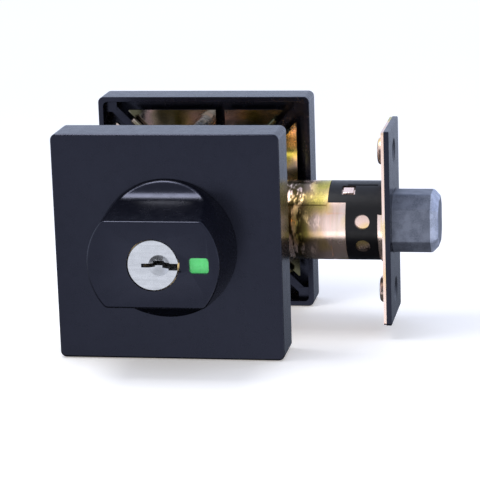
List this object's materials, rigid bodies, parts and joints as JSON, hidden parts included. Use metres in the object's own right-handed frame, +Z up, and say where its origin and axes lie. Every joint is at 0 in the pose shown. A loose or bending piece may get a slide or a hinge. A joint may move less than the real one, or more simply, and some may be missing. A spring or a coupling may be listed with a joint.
{
  "type": "double cylinder deadbolt lock",
  "caption": "Keyed deadbolt for a door: two square roses, a scooped turn knob with indicator and key plug, and a tubular latch with a sliding bolt.",
  "frame": {"origin": "where the turning axis meets the latch axis, in the middle of the door's thickness", "axes": "+X along the latch to the door edge and the bolt, +Y to the outside of the door, +Z up"},
  "size_m": [0.106, 0.094, 0.065],
  "materials": {
    "satin_black": "blue-black satin powder coat",
    "black_plastic": "moulded black plastic",
    "yellow_zinc": "yellow iridescent zinc passivation on steel",
    "bolt_steel": "grey satin, fine grain",
    "satin_nickel": "satin nickel",
    "brass": "turned brass",
    "black_brass": "brass body, satin black coat",
    "steel": "bright zinc-plated steel",
    "hardened_steel": "dark hardened steel",
    "spring_steel": "spring steel",
    "hub_zinc": "die-cast zinc",
    "window_clear": "clear plastic",
    "signal_green": "green enamel",
    "signal_red": "red enamel"
  },
  "bodies": {
    "mounted": {"interior_rose": "satin_black", "interior_bearing_bush": "black_plastic", "interior_mounting_plate": "yellow_zinc", "knob_lock_ring": "steel", "rose_grub_screw": "steel", "through_bolts": "steel", "exterior_rose": "satin_black", "exterior_mounting_plate": "yellow_zinc", "exterior_cylinder_housing": "black_brass", "exterior_chamber_cover": "brass", "exterior_driver_pins": "brass", "exterior_pin_springs": "spring_steel", "exterior_housing_nut": "yellow_zinc", "latch_case": "yellow_zinc", "case_spacers": "yellow_zinc", "detent_leaf_spring": "spring_steel", "case_rivets": "yellow_zinc", "latch_outer_tube": "yellow_zinc", "latch_inner_sleeve": "yellow_zinc", "latch_collar": "black_plastic", "latch_backplate": "yellow_zinc", "latch_faceplate": "satin_black"},
    "turn": {"turn_knob": "satin_black", "knob_hub": "hub_zinc", "knob_retaining_clip": "spring_steel", "knob_back_plate": "steel", "knob_assembly_screws": "steel", "indicator_window": "window_clear", "tailpiece": "steel", "tailpiece_dog": "steel", "interior_cylinder_housing": "brass", "interior_driver_pins": "brass", "interior_pin_springs": "spring_steel", "interior_chamber_cover": "brass"},
    "interior_plug": {"interior_key_plug": "satin_nickel", "interior_key_pins": "brass", "interior_plug_clip": "spring_steel", "interior_tail_cam": "steel", "tail_cam_screw": "steel"},
    "slider": {"lock_slider": "steel", "indicator_flag": "black_plastic", "indicator_green_field": "signal_green", "indicator_red_field": "signal_red"},
    "exterior_plug": {"exterior_key_plug": "satin_nickel", "exterior_key_pins": "brass", "exterior_plug_clip": "spring_steel", "exterior_tail_driver": "steel"},
    "cam": {"cam_hub": "steel", "crank_pin": "steel"},
    "bolt": {"deadbolt": "bolt_steel", "bolt_tail": "steel", "bolt_tail_pin": "steel", "anti_saw_pins": "hardened_steel"}
  },
  "joints": [
    {"name": "turn_knob", "type": "hinge", "parent": "mounted", "child": "turn", "pos_m": [0, 0, 0], "axis": [0, -1, 0], "range_deg": [0, 90]},
    {"name": "cam_turn", "type": "hinge", "parent": "mounted", "child": "cam", "pos_m": [0, 0, 0], "axis": [0, -1, 0], "range_deg": [0, 90]},
    {"name": "bolt_slide", "type": "slide", "parent": "mounted", "child": "bolt", "axis": [1, 0, 0], "range_m": [-0.0131, 0]},
    {"name": "interior_key_turn", "type": "hinge", "parent": "turn", "child": "interior_plug", "pos_m": [0, 0, 0], "axis": [0, -1, 0], "range_deg": [0, 90]},
    {"name": "lock_slide", "type": "slide", "parent": "turn", "child": "slider", "axis": [0, 0, 1], "range_m": [0, 0.0053]},
    {"name": "exterior_key_turn", "type": "hinge", "parent": "mounted", "child": "exterior_plug", "pos_m": [0, 0, 0], "axis": [0, 1, 0], "range_deg": [-90, 90]}
  ],
  "couplings": [
    {"joint": "cam_turn", "follows": "turn_knob", "ratio": 1},
    {"joint": "bolt_slide", "follows": "turn_knob", "m_per_rad": -0.008283},
    {"joint": "lock_slide", "follows": "interior_key_turn", "m_per_rad": 0.003331}
  ]
}
